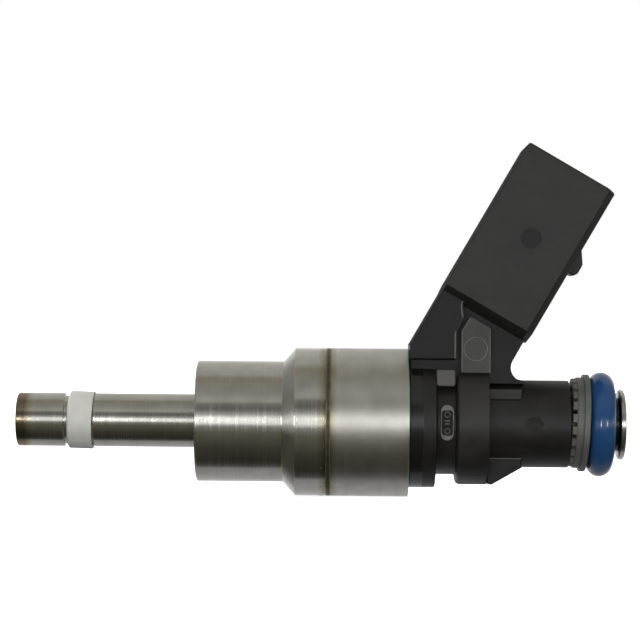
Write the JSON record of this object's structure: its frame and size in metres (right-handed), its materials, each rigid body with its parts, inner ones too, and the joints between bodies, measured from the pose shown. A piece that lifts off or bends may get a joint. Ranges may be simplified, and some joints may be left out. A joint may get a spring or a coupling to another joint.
{
  "type": "fuel injector",
  "caption": "High-pressure fuel injector: slim nozzle, stepped steel body, black moulded clamp groove and leaning plug socket, blue rail seal.",
  "frame": {"origin": "on the injector's axis, in the plane of the shoulder that seats in the cylinder head", "axes": "+X along the axis towards the fuel inlet, +Z towards the side that the connector leans from, +Y across"},
  "size_m": [0.0849, 0.0208, 0.0494],
  "materials": {
    "machined_steel": "turned, satin, with fine lathe rings",
    "drawn_steel": "drawn, satin",
    "soft_iron": "machined soft magnetic iron, matte",
    "enamelled_copper": "copper wire under clear enamel",
    "filter_brass": "turned, satin",
    "tinned_contact": "bright tin plate",
    "black_nylon": "moulded glass-filled nylon, satin",
    "bobbin_nylon": "moulded, matte",
    "white_ptfe": "waxy, matte",
    "grey_support_plastic": "moulded, matte",
    "blue_rubber": "smooth, glossy"
  },
  "bodies": {
    "injector": {"nozzle_body": "machined_steel", "tip_seal_ring": "white_ptfe", "valve_seat": "machined_steel", "swirl_disc": "machined_steel", "ball_guide_disc": "machined_steel", "lift_stop_disc": "machined_steel", "needle_guide_ring": "machined_steel", "valve_housing": "machined_steel", "magnet_housing": "drawn_steel", "non_magnetic_sleeve": "drawn_steel", "coil_bobbin": "bobbin_nylon", "coil_winding": "enamelled_copper", "pole_washer": "soft_iron", "pole_core": "soft_iron", "spring_adjusting_sleeve": "drawn_steel", "closing_spring": "drawn_steel", "inlet_tube": "machined_steel", "filter_frame": "filter_brass", "filter_mesh": "drawn_steel", "fuel_o_ring": "blue_rubber", "support_ring": "grey_support_plastic", "overmould_body": "black_nylon", "terminal_left": "tinned_contact", "terminal_right": "tinned_contact"},
    "needle": {"needle_ball": "machined_steel", "needle_shaft": "machined_steel", "armature": "soft_iron"}
  },
  "joints": [
    {"name": "needle_lift", "type": "slide", "parent": "injector", "child": "needle", "axis": [1, 0, 0], "range_m": [0, 0.0001], "stiffness_N_per_m": 15000, "deforming": ["closing_spring"]}
  ]
}
